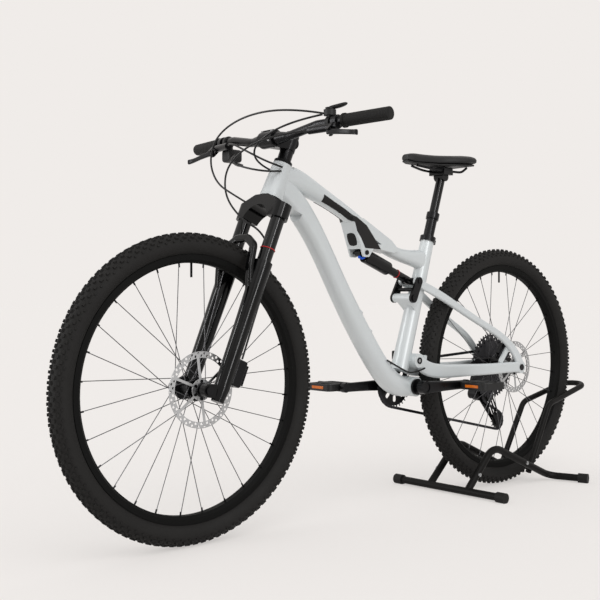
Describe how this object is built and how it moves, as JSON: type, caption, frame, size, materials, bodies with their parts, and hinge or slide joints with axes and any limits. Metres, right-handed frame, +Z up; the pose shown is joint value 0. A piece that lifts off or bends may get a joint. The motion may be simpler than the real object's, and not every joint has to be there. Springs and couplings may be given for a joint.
{
  "type": "bicycle on stand",
  "caption": "Full-suspension mountain bicycle with front fork, linkage rear end, dropper post and chain drive, standing upright in a tubular floor stand that holds its rear wheel.",
  "frame": {"origin": "on the floor under the middle of the whole object's box", "axes": "+X forward along the bicycle, +Y to the rider's left, +Z up"},
  "size_m": [1.99, 0.752, 1.0449],
  "materials": {
    "frame_paint": "gloss pearl",
    "tyre_rubber": "matte",
    "black_rubber": "matte",
    "stand_paint": "satin",
    "saddle_cover": "matte",
    "bright_steel": "brushed",
    "black_composite": "satin",
    "gloss_black": "gloss",
    "black_alloy": "anodised"
  },
  "bodies": {
    "stand": {"stand_front_bar": "stand_paint", "stand_side_rails": "stand_paint", "stand_wheel_loop": "stand_paint", "stand_end_caps": "black_rubber"},
    "frame": {"main_frame": "frame_paint", "headset": "black_alloy", "frame_fittings": "black_alloy", "bottom_bracket": "black_alloy", "pivot_axles": "black_alloy", "seatpost_outer": "black_alloy", "rear_hose_loop": "black_rubber", "chain": "bright_steel"},
    "saddle": {"seatpost_inner": "black_alloy", "saddle_clamp": "black_alloy", "saddle_rails": "bright_steel", "saddle_base": "black_composite", "saddle_pad": "saddle_cover"},
    "steering": {"fork_crown": "gloss_black", "fork_stanchions": "black_alloy", "stem": "black_alloy", "stem_faceplate": "black_alloy", "headset_spacers": "black_alloy", "handlebar": "black_alloy", "grips": "black_rubber", "brake_lever_bodies": "black_alloy", "control_pods": "black_composite", "control_cables": "black_rubber", "front_brake_hose": "black_rubber"},
    "left_brake_blade": {"left_brake_blade": "black_alloy"},
    "right_brake_blade": {"right_brake_blade": "black_alloy"},
    "shift_paddle": {"shift_paddle": "black_composite"},
    "remote_lever": {"remote_lever": "black_composite"},
    "fork_lowers": {"fork_lowers": "gloss_black", "fork_wipers": "black_rubber", "front_axle": "bright_steel", "front_caliper": "black_alloy"},
    "front_wheel": {"front_tyre": "tyre_rubber", "front_rim": "black_composite", "front_spokes": "bright_steel", "front_hub": "black_alloy", "front_rotor": "bright_steel"},
    "swingarm": {"rear_triangle": "frame_paint", "swingarm_bolts": "bright_steel", "rear_caliper": "black_alloy", "derailleur_body": "black_alloy", "derailleur_cage": "black_composite"},
    "guide_pulley": {"guide_pulley": "black_composite"},
    "tension_pulley": {"tension_pulley": "black_composite"},
    "rear_wheel": {"rear_tyre": "tyre_rubber", "rear_rim": "black_composite", "rear_spokes": "bright_steel", "rear_hub": "black_alloy", "rear_rotor": "bright_steel"},
    "cassette": {"cassette": "black_alloy"},
    "rocker": {"rocker_link": "black_alloy"},
    "shock_body": {"shock_body": "black_alloy"},
    "shock_shaft": {"shock_shaft": "black_alloy"},
    "crank": {"crankset": "black_alloy"},
    "pedal_left": {"pedal_left": "black_composite"},
    "pedal_right": {"pedal_right": "black_composite"}
  },
  "joints": [
    {"name": "bike_lift", "type": "slide", "parent": "stand", "child": "frame", "axis": [0, 0, 1], "range_m": [0, 0.45]},
    {"name": "steering", "type": "hinge", "parent": "frame", "child": "steering", "pos_m": [0.5855, 0, 0.35181], "axis": [-0.3907, 0, 0.9205], "range_deg": [-60, 60], "deforming": ["control_cables"]},
    {"name": "fork_travel", "type": "slide", "parent": "steering", "child": "fork_lowers", "axis": [-0.3907, 0, 0.9205], "range_m": [0, 0.11], "stiffness_N_per_m": 5000, "springref_m": -0.02, "deforming": ["front_brake_hose"]},
    {"name": "front_wheel_spin", "type": "hinge", "parent": "fork_lowers", "child": "front_wheel", "pos_m": [0.626, 0, 0.369], "axis": [0, 1, 0], "continuous": true},
    {"name": "swingarm_pivot", "type": "hinge", "parent": "frame", "child": "swingarm", "pos_m": [-0.13167, 0, 0.405], "axis": [0, 1, 0], "range_deg": [0, 14.77], "stiffness_Nm_per_rad": 400, "springref_deg": -6.88, "deforming": ["rear_hose_loop"]},
    {"name": "rear_wheel_spin", "type": "hinge", "parent": "swingarm", "child": "rear_wheel", "pos_m": [-0.558, 0, 0.369], "axis": [0, 1, 0], "continuous": true},
    {"name": "rocker_pivot", "type": "hinge", "parent": "frame", "child": "rocker", "pos_m": [-0.11335, 0, 0.58327], "axis": [0, 1, 0], "range_deg": [-0.5, 66.21]},
    {"name": "shock_front_pivot", "type": "hinge", "parent": "frame", "child": "shock_body", "pos_m": [0.06433, 0, 0.707], "axis": [0, 1, 0], "range_deg": [-9.29, 0.3]},
    {"name": "shock_rear_pivot", "type": "hinge", "parent": "swingarm", "child": "shock_shaft", "pos_m": [-0.13767, 0, 0.631], "axis": [0, 1, 0], "range_deg": [-24.06, 0.3]},
    {"name": "crank_spin", "type": "hinge", "parent": "frame", "child": "crank", "pos_m": [-0.12567, 0, 0.331], "axis": [0, 1, 0], "continuous": true, "deforming": ["chain"]},
    {"name": "cassette_spin", "type": "hinge", "parent": "swingarm", "child": "cassette", "pos_m": [-0.558, 0, 0.369], "axis": [0, 1, 0], "continuous": true},
    {"name": "guide_pulley_spin", "type": "hinge", "parent": "swingarm", "child": "guide_pulley", "pos_m": [-0.562, -0.048, 0.27581], "axis": [0, 1, 0], "continuous": true},
    {"name": "tension_pulley_spin", "type": "hinge", "parent": "swingarm", "child": "tension_pulley", "pos_m": [-0.61055, -0.048, 0.18839], "axis": [0, 1, 0], "continuous": true},
    {"name": "pedal_left_spin", "type": "hinge", "parent": "crank", "child": "pedal_left", "pos_m": [-0.29767, 0.137, 0.331], "axis": [0, 1, 0], "continuous": true},
    {"name": "pedal_right_spin", "type": "hinge", "parent": "crank", "child": "pedal_right", "pos_m": [0.04633, -0.137, 0.331], "axis": [0, 1, 0], "continuous": true},
    {"name": "dropper_post", "type": "slide", "parent": "frame", "child": "saddle", "axis": [0.309, 0, -0.9511], "range_m": [0, 0.1], "stiffness_N_per_m": 300, "springref_m": -0.15},
    {"name": "left_brake", "type": "hinge", "parent": "steering", "child": "left_brake_blade", "pos_m": [0.39562, 0.23068, 0.97297], "axis": [0.6919, 0, 0.722], "range_deg": [0, 16], "stiffness_Nm_per_rad": 2, "springref_deg": -11.46},
    {"name": "right_brake", "type": "hinge", "parent": "steering", "child": "right_brake_blade", "pos_m": [0.39562, -0.23068, 0.97297], "axis": [-0.6919, 0, -0.722], "range_deg": [0, 16], "stiffness_Nm_per_rad": 2, "springref_deg": -11.46},
    {"name": "shift_push", "type": "hinge", "parent": "steering", "child": "shift_paddle", "pos_m": [0.33912, -0.19311, 0.94695], "axis": [0, 0, 1], "range_deg": [0, 20], "stiffness_Nm_per_rad": 0.8, "springref_deg": -11.46},
    {"name": "remote_push", "type": "hinge", "parent": "steering", "child": "remote_lever", "pos_m": [0.36621, 0.20104, 1.03184], "axis": [0, 0, -1], "range_deg": [0, 20], "stiffness_Nm_per_rad": 0.8, "springref_deg": -11.46}
  ],
  "couplings": [
    {"joint": "rocker_pivot", "follows": "swingarm_pivot", "ratio": 4.4485},
    {"joint": "shock_front_pivot", "follows": "swingarm_pivot", "ratio": -0.60874},
    {"joint": "shock_rear_pivot", "follows": "swingarm_pivot", "ratio": -1.6087},
    {"joint": "cassette_spin", "follows": "crank_spin", "ratio": 1.3333},
    {"joint": "guide_pulley_spin", "follows": "crank_spin", "ratio": -2.2857},
    {"joint": "tension_pulley_spin", "follows": "crank_spin", "ratio": 2.2857}
  ]
}
